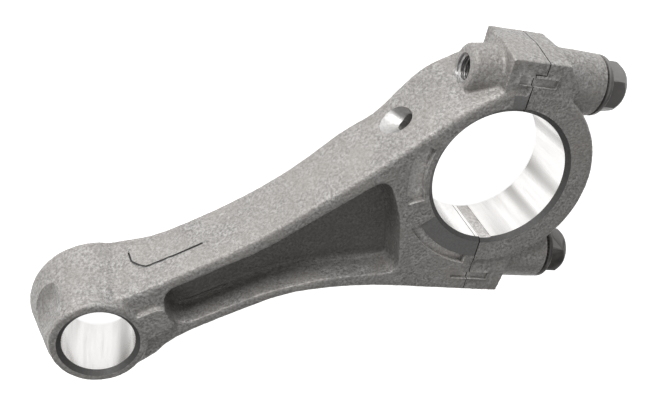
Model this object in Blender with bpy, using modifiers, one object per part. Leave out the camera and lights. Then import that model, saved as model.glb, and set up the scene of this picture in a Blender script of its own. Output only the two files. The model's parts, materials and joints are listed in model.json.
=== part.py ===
"""Die-cast connecting rod of a small engine, with a cap split at a slant and two flange bolts.

Metres, +Z up. The rod lies on its back face with both bore axes along Z: the small end is at -X
and the big end at +X. Outlines are drawn around the big-end bore's centre, in plan, and the
finished pieces are then set down so that the origin is under the middle of the whole rod.

The big end is described along two slanted directions in plan: "out" runs along the bolts from
the rod into the cap, and "up" runs along the split.
"""

from math import atan2, cos, pi, radians, sin

import bmesh
import bpy
from mathutils import Matrix, Vector

MM = 0.001

# Driving dimensions
BIG_BORE_R = 15.0 * MM
SMALL_BORE_R = 7.5 * MM
CENTRES = 91.0 * MM           # between the two bore axes
BIG_END_WIDTH = 16.0 * MM     # along the bore, and the height of the beam
SMALL_END_WIDTH = 17.25 * MM
MID_Z = BIG_END_WIDTH / 2     # the bolts' height
SPLIT_ANGLE = radians(60)     # between the split line and the rod's axis
GAP = 0.3 * MM                # between pieces that touch
FRAME_SHIFT = Vector((36.14 * MM, 3.72 * MM, 0.0))  # puts the origin under the middle of the rod

# Small end: a cone that is wider at the back
SMALL_FRONT_R = 10.0 * MM
SMALL_BACK_R = 15.2 * MM
BORE_CHAMFER = 1.0 * MM

# Beam and its pockets
BACK_ROUND = 1.6 * MM
FRONT_ROUND = 0.9 * MM
WEB_FRONT_Z = 9.0 * MM
WEB_BACK_Z = 5.5 * MM
POCKET_DRAFT = 1.3 * MM       # how much a pocket narrows from mouth to floor

# Bolts, M6 x 1 with a flanged hexagon head
BOLT_R = 3.0 * MM
BOLT_LENGTH = 28.0 * MM
BOLT_HOLE_R = BOLT_R + GAP
THREAD_MOUTH_R = 2.65 * MM    # the tapped hole's mouth, past the end of the upper bolt
THREAD_EXIT = 12.1 * MM       # how far behind the split the upper bolt's hole comes out
FLANGE_R = 6.6 * MM
FLANGE_THICK = 2.0 * MM
HEX_ACROSS_FLATS = 10.0 * MM
HEAD_HEIGHT = 5.8 * MM
HEX_TURN = pi / 6            # puts an edge of each hexagon towards the front
BOLT_UP = 20.4 * MM           # upper bolt's distance from the bore axis, along the split
BOLT_DOWN = -21.2 * MM
SEAT_UP = 18.0 * MM           # where the cap's bosses end, along the bolts
SEAT_DOWN = 19.5 * MM
BOSS_R = 6.7 * MM

# Big end
CAP_R = 21.4 * MM
LIP = 2.4 * MM                # the upper block's outer lip reaches this far past the split
LIP_UP = 23.3 * MM            # and starts here

OUT = Vector((sin(SPLIT_ANGLE), -cos(SPLIT_ANGLE), 0.0))
UP = Vector((cos(SPLIT_ANGLE), sin(SPLIT_ANGLE), 0.0))
UPRIGHT = Vector((0.0, 0.0, 1.0))


# ---------------------------------------------------------------- scene and helpers

for old in list(bpy.data.objects):
    bpy.data.objects.remove(old, do_unlink=True)

rod_collection = bpy.data.collections.new("connecting_rod")
cutter_collection = bpy.data.collections.new("cutters")
bpy.context.scene.collection.children.link(rod_collection)
bpy.context.scene.collection.children.link(cutter_collection)


def make_material(name, color, metallic, roughness):
    material = bpy.data.materials.new(name)
    material.use_nodes = True
    shader = material.node_tree.nodes["Principled BSDF"]
    shader.inputs["Base Color"].default_value = (*color, 1.0)
    shader.inputs["Metallic"].default_value = metallic
    shader.inputs["Roughness"].default_value = roughness
    return material


def add_object(name, bm, material=None):
    """Link a closed bmesh as a part, or as a hidden cutter when it has no material."""
    bmesh.ops.recalc_face_normals(bm, faces=bm.faces)
    mesh = bpy.data.meshes.new(name)
    bm.to_mesh(mesh)
    bm.free()
    item = bpy.data.objects.new(name, mesh)
    if material:
        rod_collection.objects.link(item)
        mesh.materials.append(material)
    else:
        cutter_collection.objects.link(item)
        item.hide_render = True
        item.display_type = "WIRE"
    return item


def boolean(target, tool, operation):
    modifier = target.modifiers.new(tool.name, "BOOLEAN")
    modifier.operation = operation
    modifier.object = tool


def cut(target, *tools):
    for tool in tools:
        boolean(target, tool, "DIFFERENCE")


def join(target, *tools):
    for tool in tools:
        boolean(target, tool, "UNION")


def plan(out, up):
    """A plan point from its slanted big-end coordinates."""
    point = OUT * out + UP * up
    return (point.x, point.y)


def bolt_line(up):
    """Where a bolt's axis crosses the split."""
    return UP * up + UPRIGHT * MID_Z


def loft(name, rings, material=None):
    """A solid through level outlines: rings is a list of (z, outline) with equal point counts."""
    bm = bmesh.new()
    loops = [[bm.verts.new((x, y, z)) for x, y in outline] for z, outline in rings]
    count = len(loops[0])
    for low, high in zip(loops, loops[1:]):
        for i in range(count):
            j = (i + 1) % count
            bm.faces.new((low[i], low[j], high[j], high[i]))
    bm.faces.new(list(reversed(loops[0])))
    bm.faces.new(loops[-1])
    return add_object(name, bm, material)


def turned(name, profile, origin, axis, segments, material=None):
    """A closed turned shape: profile is a list of (radius, distance along the axis)."""
    bm = bmesh.new()
    points = [bm.verts.new((radius, 0.0, along)) for radius, along in profile]
    edges = [bm.edges.new(pair) for pair in zip(points, points[1:])]
    bmesh.ops.spin(bm, geom=points + edges, cent=(0, 0, 0), axis=(0, 0, 1), angle=2 * pi,
                   steps=segments, use_merge=True)
    bmesh.ops.remove_doubles(bm, verts=bm.verts, dist=0.001 * MM)
    turn = axis.to_track_quat("Z", "Y").to_matrix().to_4x4()
    bmesh.ops.transform(bm, matrix=Matrix.Translation(origin) @ turn, verts=bm.verts)
    return add_object(name, bm, material)


def cylinder(name, origin, axis, start, end, radius, segments, end_radius=None):
    """A cylinder, or a cone, from start to end along an axis through origin."""
    last = radius if end_radius is None else end_radius
    return turned(name, [(0, start), (radius, start), (last, end), (0, end)], origin, axis, segments)


def arc(centre, radius, first, last, count):
    """Points on an arc, its ends included; angles in degrees."""
    angles = [radians(first + (last - first) * i / count) for i in range(count + 1)]
    return [(centre[0] + radius * cos(a), centre[1] + radius * sin(a)) for a in angles]


def smooth_line(points, steps):
    """A Catmull-Rom curve through the points, without its last point."""
    padded = [points[0], *points, points[-1]]
    line = []
    for a, b, c, d in zip(padded, padded[1:], padded[2:], padded[3:]):
        for i in range(steps):
            t = i / steps
            line.append(tuple(
                0.5 * (2 * q + (r - p) * t + (2 * p - 5 * q + 4 * r - s) * t**2
                       + (3 * q - p - 3 * r + s) * t**3)
                for p, q, r, s in zip(a, b, c, d)))
    return line


def inset(outline, distance):
    """The outline, counter-clockwise, moved inwards."""
    moved = []
    for before, point, after in zip(outline[-1:] + outline[:-1], outline, outline[1:] + outline[:1]):
        along = Vector(after) - Vector(before)
        along.normalize()
        moved.append((point[0] - along.y * distance, point[1] + along.x * distance))
    return moved


def rounded(corners, steps=5):
    """A counter-clockwise outline with rounded corners: each corner is (x, y, radius)."""
    outline = []
    count = len(corners)
    for i, (x, y, radius) in enumerate(corners):
        corner = Vector((x, y))
        to_last = (Vector(corners[i - 1][:2]) - corner).normalized()
        to_next = (Vector(corners[(i + 1) % count][:2]) - corner).normalized()
        half = to_last.angle(to_next) / 2
        bisector = (to_last + to_next).normalized()
        convex = to_last.cross(to_next) < 0
        centre = corner + bisector * radius / sin(half)
        first = corner + to_last * radius / (sin(half) / cos(half)) - centre
        start = atan2(first.y, first.x)
        sweep = (pi - 2 * half) * (1 if convex else -1)
        outline += [
            (centre.x + radius * cos(start + sweep * k / steps),
             centre.y + radius * sin(start + sweep * k / steps))
            for k in range(steps + 1)]
    return outline


def scaled(points):
    return [tuple(value * MM for value in point) for point in points]


def slanted_block(name, corners, lean):
    """A block with corners in slanted coordinates; most of its lean is in front of mid height."""
    def ring(extra):
        return [plan(out, up + (extra if up > 0 else -extra)) for out, up in corners]
    edge = 0.4 * MM
    return loft(name, [(edge, ring(lean)), (MID_Z, ring(lean * 0.78)), (BIG_END_WIDTH - edge, ring(0.0))])


# ---------------------------------------------------------------- rod body

# The beam's sides in plan, in millimetres: x, y at the front face, y at the back face
UPPER_SIDE = (
    (-77.5, 7.1, 11.3), (-71.0, 7.6, 10.2), (-55.0, 8.2, 10.8), (-40.5, 10.4, 13.1), (-28.0, 12.7, 16.8),
    (-19.5, 14.5, 18.4), (-13.5, 15.9, 21.2), (-7.5, 17.2, 23.8), (-1.0, 18.4, 24.5), (6.0, 18.6, 23.6),
    (12.1, 14.8, 15.0))
LOWER_SIDE = (
    (-12.6, -26.0, -27.2), (-16.5, -23.8, -25.6), (-33.3, -14.2, -17.2), (-44.0, -9.7, -12.6),
    (-52.0, -7.5, -10.2), (-62.0, -6.9, -9.6), (-76.5, -7.1, -10.8), (-83.6, -9.7, -13.2))
SMALL_END = (-CENTRES, 0.0)
# Where the outline leaves the small end's circle, in degrees from +X: (upper side, lower side)
FRONT_LEAVES = (46, 76)
BACK_LEAVES = (57, 66)
SMALL_END_STEPS = 26


def side_line(stations, blend):
    """One side of the beam, where blend is 0 at the back and 1 at the front."""
    return smooth_line([(x * MM, (back + (front - back) * blend) * MM) for x, front, back in stations], 3)


def body_outline(blend):
    radius = SMALL_BACK_R + (SMALL_FRONT_R + 0.4 * MM - SMALL_BACK_R) * blend
    above, below = (back + (front - back) * blend for front, back in zip(FRONT_LEAVES, BACK_LEAVES))
    lower_end = side_line(LOWER_SIDE, blend)
    upper = side_line(UPPER_SIDE, blend)
    end = arc(SMALL_END, radius, above, 360 - below, SMALL_END_STEPS)
    beyond_split = [plan(8 * MM, -34 * MM), plan(8 * MM, 19 * MM)]
    return beyond_split + list(reversed(upper)) + end + list(reversed(lower_end))


def body_ring(z, shrink):
    return (z, inset(body_outline(z / BIG_END_WIDTH), shrink))


def make_rod_body():
    top = BIG_END_WIDTH
    body = loft("rod_body", [
        body_ring(0.0, BACK_ROUND),
        body_ring(BACK_ROUND * 0.3, BACK_ROUND * 0.3),
        body_ring(BACK_ROUND, 0.0),
        body_ring(top - FRONT_ROUND, 0.0),
        body_ring(top - FRONT_ROUND * 0.3, FRONT_ROUND * 0.3),
        body_ring(top, FRONT_ROUND),
    ], cast_aluminium)

    small = Vector((-CENTRES, 0.0, 0.0))
    hub = turned("small_end_hub", [
        (0, top - 1 * MM), (SMALL_FRONT_R + 0.4 * MM, top - 1 * MM), (SMALL_FRONT_R, SMALL_END_WIDTH - 0.4 * MM),
        (SMALL_FRONT_R - 0.4 * MM, SMALL_END_WIDTH), (0, SMALL_END_WIDTH)], small, UPRIGHT, 48)
    tongue = loft("tongue", [
        (top - 3 * MM, rounded(scaled([(-84, -4.6, 0.5), (-74.2, -4.6, 3), (-74.2, 3.0, 3), (-84, 3.0, 0.5)]))),
        (SMALL_END_WIDTH - 0.1 * MM,
         rounded(scaled([(-84, -4.0, 0.5), (-74.8, -4.0, 3), (-74.8, 2.4, 3), (-84, 2.4, 0.5)]))),
    ])

    block = slanted_block("upper_block", [
        (-5.6 * MM, 12 * MM), (3 * MM, 12 * MM), (3 * MM, 25.8 * MM), (-5.6 * MM, 25.8 * MM)], 2.2 * MM)
    boss = turned("upper_boss", [
        (0, -THREAD_EXIT), (4.5 * MM, -THREAD_EXIT), (5.2 * MM, -11.4 * MM), (6.2 * MM, -2 * MM), (0, -2 * MM)],
        bolt_line(BOLT_UP), OUT, 32)
    join(body, hub, tongue, block, boss)

    # web pockets: front and back
    mouth = scaled([
        (-27.1, -13.2, 2.5), (-22.8, 0.0, 30.0), (-22.6, 10.6, 2.6), (-35.9, 8.4, 20), (-52.0, 5.6, 60),
        (-75.6, 5.2, 4.0), (-75.6, -4.5, 4.0), (-56.0, -4.6, 60), (-42.0, -7.4, 40)])
    front_mouth = rounded(mouth)
    front_pocket = loft("front_pocket", [
        (WEB_FRONT_Z, inset(front_mouth, POCKET_DRAFT)),
        (WEB_FRONT_Z + 1.2 * MM, inset(front_mouth, POCKET_DRAFT * 0.5)),
        (top + 2 * MM, inset(front_mouth, -0.1 * MM)),
    ])
    back_mouth = rounded(scaled([
        (-28.0, -14.6, 2.5), (-24.0, 0.0, 30.0), (-24.0, 12.4, 2.6), (-38.0, 10.4, 20), (-54.0, 7.6, 60),
        (-74.0, 7.2, 4.0), (-74.0, -6.6, 4.0), (-57.0, -6.6, 60), (-43.0, -9.6, 40)]))
    back_pocket = loft("back_pocket", [
        (-2 * MM, inset(back_mouth, -0.2 * MM)),
        (WEB_BACK_Z, inset(back_mouth, POCKET_DRAFT)),
    ])
    cut(body, front_pocket, back_pocket)

    # crescents beside the big bore
    for name, inner, outer, first, last, depth in (
            ("upper_crescent", 17.7, 20.6, 134, 172, 3.2),
            ("lower_crescent", 19.6, 21.6, 189, 234, 2.2)):
        ring = (arc((0, 0), outer * MM, first, last, 12) + arc((0, 0), inner * MM, last - 3, first + 3, 12))
        cut(body, loft(name, [
            (top - depth * MM, inset(ring, 0.4 * MM)),
            (top + 1 * MM, inset(ring, -0.1 * MM)),
        ]))

    # split: a stepped half space on the cap's side
    far = 60 * MM
    cut(body, slanted_half("body_split", [
        (0.0, -far), (far, -far), (far, far), (LIP, far), (LIP, LIP_UP), (0.0, LIP_UP)]))

    cut_bore(body, "big_bore_body", Vector((0, 0, 0)), BIG_BORE_R, BIG_END_WIDTH, 72)
    cut_bore(body, "small_bore", small, SMALL_BORE_R, SMALL_END_WIDTH, 48)
    for name, up, depth in (("upper", BOLT_UP, 10.5 * MM), ("lower", BOLT_DOWN, 9.5 * MM)):
        end = depth + (9 * MM if name == "upper" else 2.5 * MM)
        cut(body, turned(f"{name}_thread", [
            (0, -end), (THREAD_MOUTH_R, -end), (THREAD_MOUTH_R, -depth), (BOLT_HOLE_R, -depth),
            (BOLT_HOLE_R, 5 * MM), (0, 5 * MM)], bolt_line(up), OUT, 28))

    # oil hole with its countersink, from the beam's side to the big bore
    mouth_point = Vector((-17.4 * MM, 19.3 * MM, MID_Z))
    inwards = (Vector((0, 0, MID_Z)) - mouth_point).normalized()
    cut(body, turned("oil_hole", [
        (0, -3 * MM), (5.2 * MM, -3 * MM), (1.7 * MM, 2.6 * MM), (1.7 * MM, 16 * MM), (0, 16 * MM)],
        mouth_point, inwards, 24))
    cut_slots(body, "body")
    return body


def slanted_half(name, corners):
    return loft(name, [(-9 * MM, [plan(*c) for c in corners]), (30 * MM, [plan(*c) for c in corners])])


def cut_bore(body, name, centre, radius, width, segments):
    """A bore along Z, with the same chamfer at both faces."""
    past = 2 * MM
    wide = radius + BORE_CHAMFER + past
    cut(body, turned(name, [
        (0, -past), (wide, -past), (radius, BORE_CHAMFER), (radius, width - BORE_CHAMFER), (wide, width + past),
        (0, width + past)], centre, UPRIGHT, segments))


def cut_slots(body, owner):
    """The two shallow cast slots that cross the joint on the front face."""
    for name, up, low, high in (("upper", 21.7 * MM, -3.2 * MM, 5.4 * MM), ("lower", -24.8 * MM, -4.2 * MM, 5.0 * MM)):
        half = 0.9 * MM
        corners = [(low, up - half), (high, up - half), (high, up + half), (low, up + half)]
        cut(body, loft(f"{name}_slot_{owner}", [
            (BIG_END_WIDTH - 1.1 * MM, [plan(*c) for c in corners]),
            (BIG_END_WIDTH + 2 * MM, [plan(*c) for c in corners])]))


# ---------------------------------------------------------------- big-end cap

def cap_ring_outline(radius):
    """A half disc around the bore, closed by a straight line beyond the split."""
    slant = -30
    return arc((0, 0), radius, slant - 100, slant + 100, 40)


def make_cap():
    top = BIG_END_WIDTH
    flare = 1.0 * MM
    cap = loft("big_end_cap", [
        (0.0, cap_ring_outline(CAP_R + flare - BACK_ROUND)),
        (BACK_ROUND * 0.3, cap_ring_outline(CAP_R + flare - BACK_ROUND * 0.3)),
        (BACK_ROUND, cap_ring_outline(CAP_R + flare)),
        (top - FRONT_ROUND, cap_ring_outline(CAP_R)),
        (top - FRONT_ROUND * 0.3, cap_ring_outline(CAP_R - FRONT_ROUND * 0.3)),
        (top, cap_ring_outline(CAP_R - FRONT_ROUND)),
    ], cast_aluminium)
    upper = slanted_block("cap_upper_block", [
        (-1 * MM, 12 * MM), (10.6 * MM, 12 * MM), (10.5 * MM, 21.7 * MM), (7.6 * MM, 25.8 * MM),
        (-1 * MM, 25.8 * MM)], 2.2 * MM)
    lower = slanted_block("cap_lower_block", [
        (-1 * MM, -12 * MM), (-1 * MM, -28.8 * MM), (8.6 * MM, -28.8 * MM), (9.2 * MM, -24 * MM),
        (10.4 * MM, -12 * MM)], 1.2 * MM)
    join(cap, upper, lower)
    for name, up, seat in (("upper", BOLT_UP, SEAT_UP), ("lower", BOLT_DOWN, SEAT_DOWN)):
        join(cap, cylinder(f"{name}_cap_boss", bolt_line(up), OUT, 4 * MM, seat, BOSS_R + 0.3 * MM, 40, BOSS_R))
    far = 60 * MM
    cut(cap, slanted_half("cap_split", [
        (GAP, -far), (GAP, LIP_UP - GAP), (LIP + GAP, LIP_UP - GAP), (LIP + GAP, far), (-far, far), (-far, -far)]))
    cut_bore(cap, "big_bore_cap", Vector((0, 0, 0)), BIG_BORE_R, BIG_END_WIDTH, 72)
    for name, up in (("upper", BOLT_UP), ("lower", BOLT_DOWN)):
        cut(cap, cylinder(f"{name}_cap_hole", bolt_line(up), OUT, -5 * MM, 30 * MM, BOLT_HOLE_R, 28))
    cut_slots(cap, "cap")
    return cap


# ---------------------------------------------------------------- bolts

def make_bolt(name, up, seat):
    """A flanged hexagon bolt, turned about its own Z, with the head's underside at its origin."""
    bm = bmesh.new()
    tip = 0.8 * MM
    profile = [
        (0.0, HEAD_HEIGHT - 0.6 * MM), (4.2 * MM, HEAD_HEIGHT - 0.6 * MM), (4.6 * MM, FLANGE_THICK + 0.6 * MM),
        (5.9 * MM, FLANGE_THICK), (FLANGE_R, FLANGE_THICK * 0.6), (FLANGE_R, 0.0),
        (BOLT_R, 0.0), (BOLT_R, tip - BOLT_LENGTH), (BOLT_R - tip, -BOLT_LENGTH), (0.0, -BOLT_LENGTH)]
    points = [bm.verts.new((radius, 0.0, z)) for radius, z in profile]
    for a, b in zip(points, points[1:]):
        bm.edges.new((a, b))
    mesh = bpy.data.meshes.new(name)
    bm.to_mesh(mesh)
    bm.free()
    mesh.materials.append(black_steel)
    bolt = bpy.data.objects.new(name, mesh)
    rod_collection.objects.link(bolt)
    screw = bolt.modifiers.new("turned", "SCREW")
    screw.steps = screw.render_steps = 36
    screw.merge_threshold = 0.00001
    screw.use_merge_vertices = True

    bm = bmesh.new()
    bmesh.ops.create_cone(bm, cap_ends=True, segments=6, radius1=HEX_ACROSS_FLATS / (2 * cos(pi / 6)),
                          radius2=HEX_ACROSS_FLATS / (2 * cos(pi / 6)), depth=HEAD_HEIGHT - 0.4 * MM)
    bmesh.ops.translate(bm, verts=bm.verts, vec=(0, 0, (HEAD_HEIGHT + 0.4 * MM) / 2))
    hexagon = add_object(f"{name}_hexagon", bm)
    bm = bmesh.new()
    bmesh.ops.create_cone(bm, cap_ends=True, segments=36, radius1=8.4 * MM, radius2=4.7 * MM,
                          depth=HEAD_HEIGHT)
    bmesh.ops.translate(bm, verts=bm.verts, vec=(0, 0, HEAD_HEIGHT / 2))
    crown = add_object(f"{name}_crown", bm)
    boolean(hexagon, crown, "INTERSECT")
    join(bolt, hexagon)

    centre = bolt_line(up) + OUT * (seat + GAP) + FRAME_SHIFT
    turn = OUT.to_track_quat("Z", "Y").to_matrix().to_4x4() @ Matrix.Rotation(HEX_TURN, 4, "Z")
    for item in (bolt, hexagon, crown):
        item.matrix_world = Matrix.Translation(centre) @ turn
    return bolt


# ---------------------------------------------------------------- build

cast_aluminium = make_material("cast_aluminium", (0.42, 0.41, 0.39), 0.85, 0.5)
black_steel = make_material("black_steel", (0.05, 0.05, 0.055), 0.6, 0.4)

make_rod_body()
make_cap()
for item in list(rod_collection.objects) + list(cutter_collection.objects):
    item.location = FRAME_SHIFT
make_bolt("upper_cap_bolt", BOLT_UP, SEAT_UP)
make_bolt("lower_cap_bolt", BOLT_DOWN, SEAT_DOWN)

bpy.context.view_layer.update()
for item in rod_collection.objects:
    item.data.shade_smooth()
    item.data.set_sharp_from_angle(angle=radians(32))
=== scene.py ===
"""The looks of a die-cast connecting rod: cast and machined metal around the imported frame.

The castings start from the frame's own solids. Their bores are plugged, the joint is closed, and
the whole is remeshed and relaxed, which rounds every cast edge. The machined features are then
cut again, crisp, with their own material. The bolts are built here with real threads.
"""

import json
from math import cos, pi, radians, sin

import bmesh
import bpy
import numpy as np
from mathutils import Matrix, Vector, noise
from mathutils.bvhtree import BVHTree


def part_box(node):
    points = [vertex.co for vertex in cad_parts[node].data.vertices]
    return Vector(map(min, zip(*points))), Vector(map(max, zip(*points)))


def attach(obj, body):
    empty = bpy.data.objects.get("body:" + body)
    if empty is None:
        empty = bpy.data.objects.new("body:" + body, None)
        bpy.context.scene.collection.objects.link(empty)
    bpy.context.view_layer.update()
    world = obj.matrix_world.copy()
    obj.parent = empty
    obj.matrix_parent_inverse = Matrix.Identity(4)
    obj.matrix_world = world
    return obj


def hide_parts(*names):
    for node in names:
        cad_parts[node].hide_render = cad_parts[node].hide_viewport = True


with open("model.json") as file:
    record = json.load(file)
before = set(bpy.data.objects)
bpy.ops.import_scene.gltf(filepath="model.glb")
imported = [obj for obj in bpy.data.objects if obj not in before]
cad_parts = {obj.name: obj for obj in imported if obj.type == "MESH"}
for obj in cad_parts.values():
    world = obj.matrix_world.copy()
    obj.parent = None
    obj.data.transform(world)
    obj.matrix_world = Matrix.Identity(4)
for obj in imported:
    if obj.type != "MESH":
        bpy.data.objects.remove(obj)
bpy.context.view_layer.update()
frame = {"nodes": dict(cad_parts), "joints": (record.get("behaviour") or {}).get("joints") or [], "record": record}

MM = 0.001
UPRIGHT = Vector((0.0, 0.0, 1.0))

# ---------------------------------------------------------------- places, from the frame

record = frame["record"]
joints = {joint["name"]: joint for joint in frame["joints"]}


def opening_centre(name):
    low, high = next(o["box_m"] for o in record["physics"]["openings"] if o["name"] == name)
    return Vector(((low[0] + high[0]) / 2, (low[1] + high[1]) / 2, 0.0))


BIG = opening_centre("crankpin_bore")
SMALL = opening_centre("piston_pin_bore")
OUT = Vector(joints["cap_lift"]["axis"])
UP = UPRIGHT.cross(OUT)
UPPER_BOLT = Vector(joints["upper_bolt_turn"]["pos_m"])
LOWER_BOLT = Vector(joints["lower_bolt_turn"]["pos_m"])
BIG_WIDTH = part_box("big_end_cap")[1].z
SMALL_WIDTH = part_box("rod_body")[1].z

# the frame's own sizes, which its solids and its record give only as shapes
BIG_R = 15.0 * MM
SMALL_R = 7.5 * MM
CHAMFER = 1.0 * MM
SEAT_UP = 18.0 * MM       # the bolts' seats, from the joint
SEAT_DOWN = 19.5 * MM
BOSS_R = 6.7 * MM
THREAD_EXIT = 12.1 * MM   # how far behind the joint the upper bolt's hole comes out
LIP = 2.4 * MM            # the step in the joint: how deep, and where along it
LIP_UP = 23.3 * MM
CAD_GAP = 0.3 * MM
HEAD = 5.8 * MM
FLANGE_R = 6.6 * MM
ACROSS_FLATS = 10.0 * MM
HEX_TURN = radians(30)    # puts an edge of each hexagon towards the front
BOLT_LENGTH = 28.0 * MM
# the slots across the joint: name, place along the joint, and where they start and end across it
SLOTS = (("upper", 21.7 * MM, -3.2 * MM, 5.4 * MM), ("lower", -24.8 * MM, -4.2 * MM, 5.0 * MM))
SLOT_WIDTH = 1.8 * MM

# features that the frame has plainer, or that are too slight for it
JOINT_GAP = 0.2 * MM      # the crack that shows at the joint
SLOT_DEPTH = 1.0 * MM
# the crescents beside the big bore: name, radii and angles in degrees from +X
CRESCENTS = (("upper", 17.0 * MM, 20.7 * MM, 133, 173), ("lower", 19.6 * MM, 21.7 * MM, 189, 234))
CRESCENT_DEPTH = 1.7 * MM
THREAD_PITCH = 1.0 * MM
TAP_R = (2.5 * MM, 3.05 * MM)         # at the thread's crests and roots
SCREW_R = (2.42 * MM, 2.94 * MM)      # at the thread's roots and crests
OIL_HOLE_R = 1.8 * MM
OIL_MOUTH = (-16.7 * MM, 19.6 * MM)   # from the big bore's axis
# the smooth thrust faces on the rod: name and angles
THRUST_FACES = (("upper", 60, 70), ("lower", 190, 240))
THRUST_R = 19.6 * MM
THRUST_DEPTH = 0.12 * MM
STRIP_DEPTH = 0.16 * MM               # the dull strip in the cap's bore
# the mark on the flank, in millimetres along X from the big bore and up
FLANK_MARK = ((-79.4, 4.6), (-79.1, 7.0), (-78.9, 7.5), (-77.6, 8.9), (-76.4, 9.7), (-62.5, 9.7))
# the thin pad inside it, in the same millimetres: its end, its edges, and where it has faded away
PAD_START, PAD_LOW, PAD_HIGH, PAD_GONE = -79.2, 2.5, 9.7, -61.0
PAD_RISE = 0.16 * MM
HOLLOW_ANGLE = radians(129)           # around the small end
HOLLOW_R = 12.0 * MM

VOXEL = 0.3 * MM
PAST = 1 * MM             # how far a cutter reaches out of a face


def plan(out, up, z=0.0):
    return BIG + OUT * out + UP * up + UPRIGHT * z


# ---------------------------------------------------------------- mesh helpers

def link(name, mesh, materials=()):
    item = bpy.data.objects.new(name, mesh)
    bpy.context.scene.collection.objects.link(item)
    for material in materials:
        mesh.materials.append(material)
    return item


def from_bmesh(name, bm, materials=()):
    bmesh.ops.recalc_face_normals(bm, faces=bm.faces)
    mesh = bpy.data.meshes.new(name)
    bm.to_mesh(mesh)
    bm.free()
    return link(name, mesh, materials)


def settle(item):
    """Apply the item's modifiers."""
    graph = bpy.context.evaluated_depsgraph_get()
    mesh = bpy.data.meshes.new_from_object(item.evaluated_get(graph), depsgraph=graph)
    item.modifiers.clear()
    item.data = mesh
    return item


def remove(*items):
    for item in items:
        bpy.data.objects.remove(item, do_unlink=True)


def combine(target, operation, *tools):
    for tool in tools:
        modifier = target.modifiers.new(tool.name, "BOOLEAN")
        modifier.operation = operation
        modifier.object = tool
        modifier.solver = "MANIFOLD"
        modifier.material_mode = "TRANSFER"
    settle(target)
    remove(*tools)
    return target


def turned(name, profile, origin, axis, segments, material):
    """A closed turned shape: profile is a list of (radius, distance along the axis)."""
    bm = bmesh.new()
    points = [bm.verts.new((radius, 0.0, along)) for radius, along in profile]
    edges = [bm.edges.new(pair) for pair in zip(points, points[1:])]
    bmesh.ops.spin(bm, geom=points + edges, cent=(0, 0, 0), axis=(0, 0, 1), angle=2 * pi,
                   steps=segments, use_merge=True)
    bmesh.ops.remove_doubles(bm, verts=bm.verts, dist=0.001 * MM)
    turn = axis.to_track_quat("Z", "Y").to_matrix().to_4x4()
    bmesh.ops.transform(bm, matrix=Matrix.Translation(origin) @ turn, verts=bm.verts)
    return from_bmesh(name, bm, [material])


def prism(name, corners, low, high, material):
    """A level outline, as world points, raised from low to high."""
    bm = bmesh.new()
    rings = [[bm.verts.new((c.x, c.y, z)) for c in corners] for z in (low, high)]
    count = len(corners)
    for i in range(count):
        j = (i + 1) % count
        bm.faces.new((rings[0][i], rings[0][j], rings[1][j], rings[1][i]))
    bm.faces.new(rings[0])
    bm.faces.new(rings[1])
    return from_bmesh(name, bm, [material])


def arc_points(radius, start, end):
    """Points on an arc around the big bore, in degrees from +X, at 1.5 degree steps."""
    steps = max(2, round(abs(end - start) / 1.5))
    turns = (radians(start + (end - start) * i / steps) for i in range(steps + 1))
    return [BIG + Vector((cos(t), sin(t), 0.0)) * radius for t in turns]


def sector(name, inner, outer, start, end, low, high, material):
    """Part of a ring around the big bore."""
    return prism(name, arc_points(outer, start, end) + arc_points(inner, end, start), low, high, material)


def wire(name, points, radius, material):
    """A closed six-sided tube through the points."""
    bm = bmesh.new()
    rings = []
    for i, point in enumerate(points):
        ahead = (points[min(i + 1, len(points) - 1)] - points[max(i - 1, 0)]).normalized()
        turn = ahead.to_track_quat("Z", "Y").to_matrix()
        rings.append([bm.verts.new(point + turn @ Vector((cos(k * pi / 3), sin(k * pi / 3), 0.0)) * radius)
                      for k in range(6)])
    for low, high in zip(rings, rings[1:]):
        for k in range(6):
            bm.faces.new((low[k], low[(k + 1) % 6], high[(k + 1) % 6], high[k]))
    bm.faces.new(rings[0])
    bm.faces.new(rings[-1])
    return from_bmesh(name, bm, [material])


def threaded(name, inner, outer, start, end, origin, axis, material, taper=0.0):
    """A closed threaded rod: its radius follows a blunt V along a helix, and thins over the taper."""
    around, rows_each = 48, 12
    tip = 0.5 * MM
    rows = round((end - start) / THREAD_PITCH * rows_each)
    bm = bmesh.new()
    rings = []
    for row in range(rows + 1):
        along = start + (end - start) * row / rows
        fade = min(1.0, (along - start) / taper if taper else 1.0)
        ring = []
        for step in range(around):
            angle = 2 * pi * step / around
            phase = (along / THREAD_PITCH - step / around) % 1.0
            crest = min(1.0, max(0.0, 1.25 - abs(2 * phase - 1) * 1.5))
            radius = inner + (outer - inner) * crest - (1 - fade) * tip
            ring.append(bm.verts.new((radius * cos(angle), radius * sin(angle), along)))
        rings.append(ring)
    for low, high in zip(rings, rings[1:]):
        for i in range(around):
            j = (i + 1) % around
            bm.faces.new((low[i], low[j], high[j], high[i]))
    bm.faces.new(rings[0])
    bm.faces.new(rings[-1])
    turn = axis.to_track_quat("Z", "Y").to_matrix().to_4x4()
    bmesh.ops.transform(bm, matrix=Matrix.Translation(origin) @ turn, verts=bm.verts)
    return from_bmesh(name, bm, [material])


def shade(item):
    item.data.shade_smooth()
    item.data.set_sharp_from_angle(angle=radians(35))


# ---------------------------------------------------------------- materials

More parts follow.
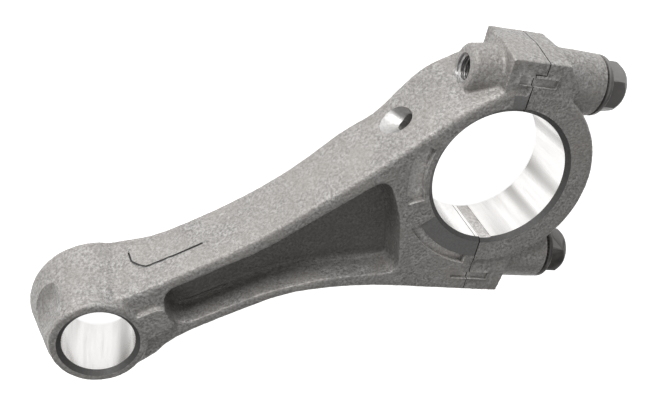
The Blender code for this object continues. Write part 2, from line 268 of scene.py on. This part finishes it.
class Nodes:
    """Short calls for building a node tree around one Principled shader."""

    def __init__(self, name):
        self.material = bpy.data.materials.new(name)
        self.material.use_nodes = True
        self.tree = self.material.node_tree
        self.shader = self.tree.nodes["Principled BSDF"]
        self.place = self.tree.nodes.new("ShaderNodeTexCoord").outputs["Object"]

    def add(self, kind, inputs=None, **settings):
        node = self.tree.nodes.new(kind)
        for key, value in settings.items():
            setattr(node, key, value)
        for key, value in (inputs or {}).items():
            if hasattr(value, "is_output"):
                self.tree.links.new(value, node.inputs[key])
            else:
                node.inputs[key].default_value = value
        return node

    def noise(self, size, detail=3.0, roughness=0.55):
        """Noise whose features are about size metres across, from 0 to 1."""
        return self.noise_at(self.place, size, detail, roughness)

    def noise_at(self, place, size, detail, roughness):
        return self.add("ShaderNodeTexNoise", {
            "Vector": place, "Scale": 0.6 / size, "Detail": detail, "Roughness": roughness,
        }).outputs["Fac"]

    def pointiness(self):
        return self.add("ShaderNodeNewGeometry").outputs["Pointiness"]

    def span(self, value, low, high, new_low, new_high):
        return self.add("ShaderNodeMapRange", {
            "Value": value, "From Min": low, "From Max": high, "To Min": new_low, "To Max": new_high,
        }).outputs["Result"]

    def mix(self, share, first, second):
        return self.add("ShaderNodeMix", {0: share, 6: first, 7: second}, data_type="RGBA").outputs[2]

    def math(self, operation, first, second):
        return self.add("ShaderNodeMath", {0: first, 1: second}, operation=operation).outputs[0]

    def bump(self, height, strength, distance, after=None):
        inputs = {"Height": height, "Strength": strength, "Distance": distance}
        if after is not None:
            inputs["Normal"] = after
        return self.add("ShaderNodeBump", inputs).outputs["Normal"]

    def set(self, **inputs):
        for key, value in inputs.items():
            socket = self.shader.inputs[key.replace("_", " ")]
            if hasattr(value, "is_output"):
                self.tree.links.new(value, socket)
            else:
                socket.default_value = value
        return self.material


def grey(level, warm):
    """A grey whose red is raised and blue lowered by the share warm."""
    return (level * (1 + warm), level, level * (1 - warm), 1.0)


def cast_material(name, level, warm):
    """Die-cast aluminium, shot-blasted: a fine pale and dark speckle over soft blotches."""
    n = Nodes(name)
    grain = n.noise(0.34 * MM, 2.0, 0.65)
    fine = n.noise(0.13 * MM, 1.0, 0.5)
    patch = n.noise(1.7 * MM, 3.0, 0.65)
    blotch = n.noise(7.0 * MM, 3.0, 0.6)
    # painted highlight: the casting is paler where pointiness is high, along its sharp edges
    edge = n.span(n.pointiness(), 0.53, 0.61, 0.0, 0.28)
    # painted shade: the casting is darkened where pointiness is low, in its creases and hollows
    crease_shade = n.span(n.pointiness(), 0.49, 0.43, 0.0, 0.55)
    dark, pale = grey(level * 0.55, warm), grey(level * 1.35, warm * 0.6)
    color = n.mix(n.span(grain, 0.36, 0.64, 0.0, 1.0), dark, pale)
    color = n.mix(n.span(patch, 0.38, 0.66, 0.0, 0.6), color, grey(level * 0.7, warm * 1.3))
    color = n.mix(n.span(blotch, 0.35, 0.68, 0.0, 0.45), color, grey(level * 1.1, warm * 1.7))
    color = n.mix(n.span(fine, 0.60, 0.74, 0.0, 0.6), color, grey(level * 1.8, warm * 0.4))
    # painted shade in the creases and hollows
    color = n.mix(crease_shade, color, grey(level * 0.35, warm * 1.4))
    # painted highlight along the sharp edges
    color = n.mix(edge, color, grey(level * 2.1, warm * 0.5))
    # painted shade: what faces up from low down is darkened, above all the floor of the front web pocket
    height = n.add("ShaderNodeSeparateXYZ", {0: n.place}).outputs["Z"]
    faces_up = n.add("ShaderNodeSeparateXYZ", {
        0: n.add("ShaderNodeNewGeometry").outputs["True Normal"]}).outputs["Z"]
    low = n.span(height, 11.5 * MM, 9.5 * MM, 0.0, 1.0)
    pocket_shade = n.math("MULTIPLY", low, n.span(faces_up, 0.3, 0.8, 0.0, 0.62))
    color = n.mix(pocket_shade, color, grey(level * 0.18, warm * 1.5))
    normal = n.bump(grain, 0.85, 0.19 * MM, n.bump(patch, 0.45, 0.35 * MM))
    return n.set(Base_Color=color, Metallic=0.55, Normal=normal,
                 Roughness=n.span(fine, 0.3, 0.7, 0.45, 0.7))


def machined_material(name, level, roughness, size, metallic=0.95):
    """Turned or milled aluminium with fine tool marks and a little of the casting's grain."""
    n = Nodes(name)
    marks = n.add("ShaderNodeTexWave", {
        "Vector": n.place, "Scale": 0.16 / size, "Distortion": 0.6, "Detail": 2.0, "Detail Scale": 1.5,
    }, wave_type="BANDS", bands_direction="Z", wave_profile="SIN").outputs["Fac"]
    stain = n.noise(3.0 * MM, 2.0)
    color = n.mix(n.span(stain, 0.4, 0.7, 0.0, 0.5), grey(level, 0.01), grey(level * 0.86, 0.03))
    color = n.mix(n.span(n.noise(0.3 * MM, 2.0), 0.4, 0.66, 0.0, 0.45), color, grey(level * 0.6, 0.04))
    normal = n.bump(marks, 0.12, 0.02 * MM)
    return n.set(Base_Color=color, Metallic=metallic, Normal=normal,
                 Roughness=n.span(stain, 0.3, 0.7, roughness * 0.8, roughness * 1.3))


def bored_material():
    """A honed bore: bright, with duller streaks that run the length of the bore."""
    n = Nodes("bored_aluminium")
    flat = n.add("ShaderNodeMapping", {"Vector": n.place, "Scale": (1.0, 1.0, 0.06)}).outputs["Vector"]
    streak = n.noise_at(flat, 4.5 * MM, 2.0, 0.45)
    fine = n.noise_at(flat, 0.5 * MM, 2.0, 0.5)
    color = n.mix(n.span(streak, 0.47, 0.64, 0.0, 1.0), grey(0.80, 0.012), grey(0.34, 0.03))
    color = n.mix(n.span(fine, 0.45, 0.75, 0.0, 0.35), color, grey(0.45, 0.02))
    return n.set(Base_Color=color, Metallic=1.0, Roughness=n.span(streak, 0.4, 0.7, 0.14, 0.3))


def black_oxide_material():
    """Black oxide on steel, in soft patches, with paler edges."""
    n = Nodes("black_oxide")
    patch = n.noise(1.6 * MM, 3.0, 0.6)
    fine = n.noise(0.2 * MM, 2.0, 0.5)
    edge = n.span(n.pointiness(), 0.51, 0.60, 0.0, 0.5)
    color = n.mix(n.span(patch, 0.35, 0.7, 0.0, 1.0), grey(0.06, 0.03), grey(0.12, 0.06))
    color = n.mix(edge, color, grey(0.26, 0.02))
    return n.set(Base_Color=color, Metallic=0.75, Roughness=n.span(patch, 0.3, 0.7, 0.36, 0.55),
                 Normal=n.bump(fine, 0.25, 0.04 * MM))


cast = cast_material("cast_aluminium", 0.28, 0.04)
scuffed = cast_material("scuffed_aluminium", 0.55, 0.03)
bored = bored_material()
milled = machined_material("milled_aluminium", 0.42, 0.40, 0.3 * MM)
faced = machined_material("faced_aluminium", 0.18, 0.5, 0.3 * MM, 0.5)
chamfered = machined_material("chamfered_aluminium", 0.10, 0.5, 0.3 * MM, 0.5)
# painted shade: the joint faces are nearly black, so that the crack at the joint and the groove of the flank mark
# read dark
joint_face = machined_material("joint_face_aluminium", 0.09, 0.55, 0.4 * MM)
oxide = black_oxide_material()

# ---------------------------------------------------------------- the castings' common blank

def close_joint(bm):
    """Move the cap's joint faces back across the gap and a little into the rod."""
    near, move = 0.02 * MM, CAD_GAP + 0.1 * MM
    inner, outer, step = CAD_GAP, LIP + CAD_GAP, LIP_UP - CAD_GAP
    for vertex in bm.verts:
        offset = vertex.co - BIG
        out, up = offset.dot(OUT), offset.dot(UP)
        on_inner = abs(out - inner) < near and up < step + near
        on_outer = abs(out - outer) < near and up > step - near
        on_step = abs(up - step) < near and inner - near < out < outer + near
        if on_inner or on_outer or on_step:
            vertex.co -= OUT * move
        if on_step:
            vertex.co += UP * move


def slot_cutters(owner, grow, top):
    """Cutters, or slightly grown plugs, for the two shallow slots that cross the joint."""
    tools = []
    half = SLOT_WIDTH / 2 + grow
    floor = BIG_WIDTH - SLOT_DEPTH - 2 * grow
    for name, up, low, high in SLOTS:
        corners = [plan(out, up + side) for out, side in (
            (low - grow, -half), (high + grow, -half), (high + grow, half), (low - grow, half))]
        tools.append(prism(f"{name}_slot_{owner}", corners, floor, top, scuffed))
    return tools


def welded(node):
    """A copy of a node's mesh with its vertices merged."""
    bm = bmesh.new()
    bm.from_mesh(frame["nodes"][node].data)
    bmesh.ops.remove_doubles(bm, verts=bm.verts, dist=0.0005 * MM)
    return bm


def make_blank():
    """Both castings as one soft-edged lump with every machined feature filled in."""
    bm = welded("big_end_cap")
    close_joint(bm)
    plugs = [from_bmesh("blank_cap", bm)]
    blank = from_bmesh("blank", welded("rod_body"))
    overlap = 0.3 * MM
    for name, centre, radius, width in (
            ("big_plug", BIG, BIG_R, BIG_WIDTH), ("small_plug", SMALL, SMALL_R, SMALL_WIDTH)):
        wide = radius + CHAMFER + overlap
        profile = [(0, 0), (wide, 0), (wide, width), (0, width)]
        plugs.append(turned(name, profile, centre, UPRIGHT, 96, cast))
    core, longer = 3.6 * MM, 1.2 * MM   # the bosses start longer, and their seats are cut back later
    for name, bolt, back, seat in (
            ("upper_bolt_plug", UPPER_BOLT, -THREAD_EXIT, SEAT_UP),
            ("lower_bolt_plug", LOWER_BOLT, -13 * MM, SEAT_DOWN)):
        plugs.append(turned(name, [
            (0, back), (core, back), (core, seat), (BOSS_R, seat), (BOSS_R, seat + longer),
            (0, seat + longer)], bolt, OUT, 48, cast))
    plugs += [sector(f"{name}_crescent_plug", inner, outer, start, end, 8 * MM, BIG_WIDTH, cast)
              for name, inner, outer, start, end in CRESCENTS]
    plugs += slot_cutters("plug", 0.1 * MM, BIG_WIDTH)
    bm = bmesh.new()
    for item in [blank] + plugs:
        bm.from_mesh(item.data)
    remove(*plugs)
    bm.to_mesh(blank.data)
    bm.free()
    remesh = blank.modifiers.new("remesh", "REMESH")
    remesh.mode = "VOXEL"
    remesh.voxel_size = VOXEL
    relax = blank.modifiers.new("relax", "SMOOTH")
    relax.factor = 0.5
    relax.iterations = 4
    settle(blank)
    return blank


def roughen(item):
    """A cast skin: slow waves and fine pits, a few hundredths of a millimetre deep."""
    # heights in millimetres; the skin is sunk a little, because the noise also rises
    wave, wave_size = 0.045, 2.6 * MM
    pit, pit_size = 0.035, 0.75 * MM
    sink = 0.03
    mesh = item.data
    count = len(mesh.vertices)
    places = np.empty(count * 3)
    normals = np.empty(count * 3)
    mesh.vertices.foreach_get("co", places)
    mesh.vertices.foreach_get("normal", normals)
    places, normals = places.reshape(-1, 3), normals.reshape(-1, 3)
    heights = np.array([
        wave * noise.noise(Vector(p) / wave_size) + pit * noise.noise(Vector(p) / pit_size) - sink
        for p in places]) * MM
    # the pad on the flank, whose end leans with the mark's corner
    along, up = (places[:, 0] - BIG.x) / MM, places[:, 2] / MM
    lean, corner, fade = 0.6, 7, 3.0
    start = PAD_START + lean * np.clip(up - corner, 0, 3)
    on_flank = normals[:, 1] > 0.6
    pad = on_flank & (up > PAD_LOW) & (up < PAD_HIGH) & (along > start)
    heights += PAD_RISE * pad * np.clip((PAD_GONE - along) / fade, 0, 1)
    places += normals * heights[:, None]
    places[:, 2] = np.clip(places[:, 2], 0.0, SMALL_WIDTH)
    mesh.vertices.foreach_set("co", places.ravel())
    mesh.update()


blank = make_blank()
roughen(blank)
blank.data.materials.clear()
blank.data.materials.append(cast)

# ---------------------------------------------------------------- cutters

FAR = 90 * MM


def bore_cutter(name, centre, radius, width, segments):
    """A bore with both its chamfers, which are a second material."""
    past = 2 * MM
    wide = radius + CHAMFER + past
    tool = turned(name, [(0, -past), (wide, -past), (radius, CHAMFER), (radius, width - CHAMFER),
                         (wide, width + past), (0, width + past)], centre, UPRIGHT, segments, bored)
    tool.data.materials.append(chamfered)
    for face in tool.data.polygons:
        if abs(face.normal.z) > 0.3:
            face.material_index = 1
    return tool


def split_cutter(name, corners):
    """Everything past the joint, as corners in (out, up)."""
    # the cut faces take the nearly black joint-face material, as painted shade in the crack
    return prism(name, [plan(*c) for c in corners], -9 * MM, 30 * MM, joint_face)


def hollow_cutter():
    """A round-ended roller, laid across the small end, for the hollow beside its front ring."""
    out = Vector((cos(HOLLOW_ANGLE), sin(HOLLOW_ANGLE), 0.0))
    nearest, height = 10.4 * MM, 14.4 * MM   # its side from the bore's axis, and its middle
    place = SMALL + out * (nearest + HOLLOW_R) + UPRIGHT * height
    half = [(12.3 * MM, 3.5 * MM), (HOLLOW_R, 5.75 * MM), (11.2 * MM, 8.0 * MM), (0, 8.0 * MM)]
    profile = [(radius, -along) for radius, along in reversed(half)] + half
    return turned("small_end_relief", profile, place, UPRIGHT.cross(out), 96, cast)


def flank_line():
    """The mark's corners, carried onto the casting's +Y flank in short steps."""
    tree = BVHTree.FromObject(blank, bpy.context.evaluated_depsgraph_get())
    outside = 100 * MM
    points = []
    for (x0, z0), (x1, z1) in zip(FLANK_MARK, FLANK_MARK[1:]):
        steps = max(1, round(abs(x1 - x0) + abs(z1 - z0)))
        for i in range(steps):
            x, z = x0 + (x1 - x0) * i / steps, z0 + (z1 - z0) * i / steps
            start = Vector((BIG.x + x * MM, outside, z * MM))
            points.append(tree.ray_cast(start, Vector((0.0, -1.0, 0.0)))[0])
    return points


def oil_hole_cutter():
    """A countersunk hole from the flank to the bore, at mid height."""
    middle = UPRIGHT * (BIG_WIDTH / 2)
    mouth = BIG + Vector((*OIL_MOUTH, 0.0)) + middle
    inwards = (BIG + middle - mouth).normalized()
    return turned("oil_hole", [
        (0, -3 * MM), (6.6 * MM, -3 * MM), (4.8 * MM, 0), (OIL_HOLE_R, 3.6 * MM), (OIL_HOLE_R, 16 * MM),
        (0, 16 * MM)], mouth, inwards, 64, milled)


def strip_cutter():
    """A strip in the cap's bore, duller than the bore, beside the lower end of the joint."""
    deep, inside = BIG_R + STRIP_DEPTH, -13.5 * MM
    outs = [out * MM for out in (0.0, 0.7, 1.4, 2.1, 2.9)]
    outline = [plan(outs[-1], inside), plan(outs[0], inside)]
    outline += [plan(out, -(deep ** 2 - out ** 2) ** 0.5) for out in outs]
    return prism("bore_strip", outline, -PAST, BIG_WIDTH + PAST, scuffed)


def make_rod():
    """The rod: the blank up to the joint, with its machined features and marks."""
    rod = link("rod_casting", blank.data.copy())
    top = BIG_WIDTH
    exit_chamfer = [
        (0, -12.5 * MM), (3.5 * MM, -12.5 * MM), (2.5 * MM, -11.5 * MM), (0, -11.5 * MM)]
    # the fine line along the bore, beside the joint's lower end
    bore_line = [
        plan(-0.9 * MM, 0.02 * MM - BIG_R, z) for z in (0.6 * MM, BIG_WIDTH - 0.6 * MM)]
    tools = [split_cutter("rod_split", [
        (0.0, -FAR), (FAR, -FAR), (FAR, FAR), (LIP, FAR), (LIP, LIP_UP), (0.0, LIP_UP)])]
    tools.append(bore_cutter("rod_big_bore", BIG, BIG_R, BIG_WIDTH, 160))
    tools.append(bore_cutter("rod_small_bore", SMALL, SMALL_R, SMALL_WIDTH, 112))
    for name, bolt, depth in (("upper", UPPER_BOLT, 14 * MM), ("lower", LOWER_BOLT, 12 * MM)):
        tools.append(threaded(f"{name}_tapping", *TAP_R, -depth, 4 * MM, bolt, OUT, milled))
    tools.append(turned("thread_chamfer", exit_chamfer, UPPER_BOLT, OUT, 48, milled))
    tools.append(oil_hole_cutter())
    for name, inner, outer, start, end in CRESCENTS:
        tools.append(sector(
            f"{name}_crescent", inner, outer, start, end, top - CRESCENT_DEPTH, top + PAST, scuffed))
    for name, start, end in THRUST_FACES:
        tools.append(sector(
            f"{name}_thrust_face", 14 * MM, THRUST_R, start, end, top - THRUST_DEPTH, top + PAST, faced))
    # the groove takes the nearly black joint-face material, as a painted shadow line
    tools.append(wire("flank_mark", flank_line(), 0.24 * MM, joint_face))
    tools.append(wire("bore_line", bore_line, 0.11 * MM, faced))
    tools.append(hollow_cutter())
    tools += slot_cutters("rod", 0.0, top + 2 * PAST)
    return combine(rod, "DIFFERENCE", *tools)


def make_cap():
    """The cap: the blank past the joint, with its machined features."""
    cap = link("cap_casting", blank.data.copy())
    near = JOINT_GAP
    tools = [split_cutter("cap_split", [
        (near, -FAR), (near, LIP_UP - near), (LIP + near, LIP_UP - near), (LIP + near, FAR),
        (-FAR * 2, FAR), (-FAR * 2, -FAR)])]
    tools.append(bore_cutter("cap_big_bore", BIG, BIG_R, BIG_WIDTH, 160))
    hole, face, wide = 3.3 * MM, 6.1 * MM, 8.4 * MM
    for name, bolt, seat in (("upper", UPPER_BOLT, SEAT_UP), ("lower", LOWER_BOLT, SEAT_DOWN)):
        tools.append(turned(f"{name}_bolt_hole", [
            (0, -5 * MM), (hole, -5 * MM), (hole, seat), (face, seat), (wide, seat - 1.2 * MM),
            (wide, seat + 4 * MM), (0, seat + 4 * MM)], bolt, OUT, 96, milled))
    tools.append(strip_cutter())
    tools += slot_cutters("cap", 0.0, BIG_WIDTH + 2 * PAST)
    return combine(cap, "DIFFERENCE", *tools)


# ---------------------------------------------------------------- bolts

def make_hexagon(name, place):
    """The head's hexagon, its foot sunk in the flange."""
    foot = 0.8 * MM
    corner = ACROSS_FLATS / (2 * cos(pi / 6))
    bm = bmesh.new()
    bmesh.ops.create_cone(
        bm, cap_ends=True, segments=6, radius1=corner, radius2=corner, depth=HEAD - foot)
    centre = Matrix.Translation((0, 0, (HEAD + foot) / 2))
    bmesh.ops.transform(
        bm, matrix=place @ Matrix.Rotation(HEX_TURN, 4, "Z") @ centre, verts=bm.verts)
    return from_bmesh(name, bm, [oxide])


def make_bolt(name, origin, seat):
    """A flange bolt: a chamfered hexagon with a dished top on a flange, and a threaded shank."""
    base = origin + OUT * (seat + CAD_GAP)
    bolt = make_hexagon(
        name, Matrix.Translation(base) @ OUT.to_track_quat("Z", "Y").to_matrix().to_4x4())
    crown = turned("crown", [
        (0, 0), (8.4 * MM, 0), (5.1 * MM, HEAD - 0.6 * MM), (4.7 * MM, HEAD - 0.05 * MM),
        (4.5 * MM, HEAD), (3.4 * MM, HEAD), (3.0 * MM, HEAD - 0.25 * MM), (0, HEAD - 0.3 * MM),
    ], base, OUT, 96, oxide)
    combine(bolt, "INTERSECT", crown)
    flange = turned("flange", [
        (0, 0), (6.2 * MM, 0), (6.55 * MM, 0.18 * MM), (FLANGE_R, 0.5 * MM), (6.5 * MM, 0.95 * MM),
        (6.1 * MM, 1.35 * MM), (5.3 * MM, 1.7 * MM), (4.9 * MM, 2.1 * MM), (4.85 * MM, 2.6 * MM),
        (0, 2.6 * MM)], base, OUT, 96, oxide)
    combine(bolt, "UNION", flange)
    soften = bolt.modifiers.new("soften", "BEVEL")
    soften.width = 0.14 * MM
    soften.segments = 2
    soften.limit_method = "ANGLE"
    soften.angle_limit = radians(28)
    settle(bolt)
    shank = threaded("shank", *SCREW_R, -BOLT_LENGTH, 0.5 * MM, base, OUT, oxide, 1.2 * MM)
    return combine(bolt, "UNION", shank)


rod = make_rod()
cap = make_cap()
remove(blank)
upper_bolt = make_bolt("upper_flange_bolt", UPPER_BOLT, SEAT_UP)
lower_bolt = make_bolt("lower_flange_bolt", LOWER_BOLT, SEAT_DOWN)

for piece, body, node, slot in (
        (rod, "rod", "rod_body", "cast_aluminium"), (cap, "cap", "big_end_cap", "cast_aluminium"),
        (upper_bolt, "upper_bolt", "upper_cap_bolt", "black_steel"),
        (lower_bolt, "lower_bolt", "lower_cap_bolt", "black_steel")):
    shade(piece)
    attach(piece, body)
    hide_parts(node)

# ---------------------------------------------------------------- floor, light and camera

WHITE = (1.0, 1.0, 1.0, 1.0)


def make_floor():
    """White paper that glows, as on a light table."""
    bm = bmesh.new()
    bmesh.ops.create_grid(bm, x_segments=1, y_segments=1, size=12.0)
    floor = from_bmesh("floor", bm)
    n = Nodes("floor_paper")
    floor.data.materials.append(n.set(
        Base_Color=grey(0.9, 0.0), Roughness=0.9, Emission_Color=WHITE, Emission_Strength=0.85))


def make_light(name, place, size, power):
    """A soft lamp that faces the object."""
    data = bpy.data.lights.new(name, "AREA")
    data.shape = "RECTANGLE"
    data.size, data.size_y = size
    data.energy = power
    lamp = bpy.data.objects.new(name, data)
    lamp.location = place
    lamp.rotation_mode = "QUATERNION"
    lamp.rotation_quaternion = (-Vector(place)).to_track_quat("-Z", "Y")
    bpy.context.scene.collection.objects.link(lamp)


make_floor()
make_light("key", place=(0.05, 0.90, 0.26), size=(0.9, 0.4), power=8.6)
make_light("top", place=(-0.1, 0.1, 0.9), size=(1.0, 1.0), power=2.4)

world = bpy.data.worlds.new("studio")
world.use_nodes = True
sky = world.node_tree.nodes["Background"].inputs
sky["Color"].default_value = WHITE
sky["Strength"].default_value = 0.26
bpy.context.scene.world = world
bpy.context.scene.view_settings.view_transform = "Standard"
bpy.context.scene.view_settings.look = "None"

# The camera looks down at the front faces from the oil hole's side, and is turned about its own axis.
AHEAD = Vector((0.0285, -0.5417, -0.8401)).normalized()
IMAGE_UP = Vector((0.3718, 0.7858, -0.4942))
CAMERA_PLACE = BIG + Vector((-0.04153, 0.09844, 0.15279))
camera_data = bpy.data.cameras.new("camera")
camera_data.sensor_width = 36.0
camera_data.lens = 44.346
camera_data.clip_start, camera_data.clip_end = 0.01, 60.0
camera = bpy.data.objects.new("camera", camera_data)
right = AHEAD.cross(IMAGE_UP).normalized()
above = right.cross(AHEAD)
camera.matrix_world = Matrix.Translation(CAMERA_PLACE) @ Matrix(
    (right, above, -AHEAD)).transposed().to_4x4()
bpy.context.scene.collection.objects.link(camera)
bpy.context.scene.camera = camera
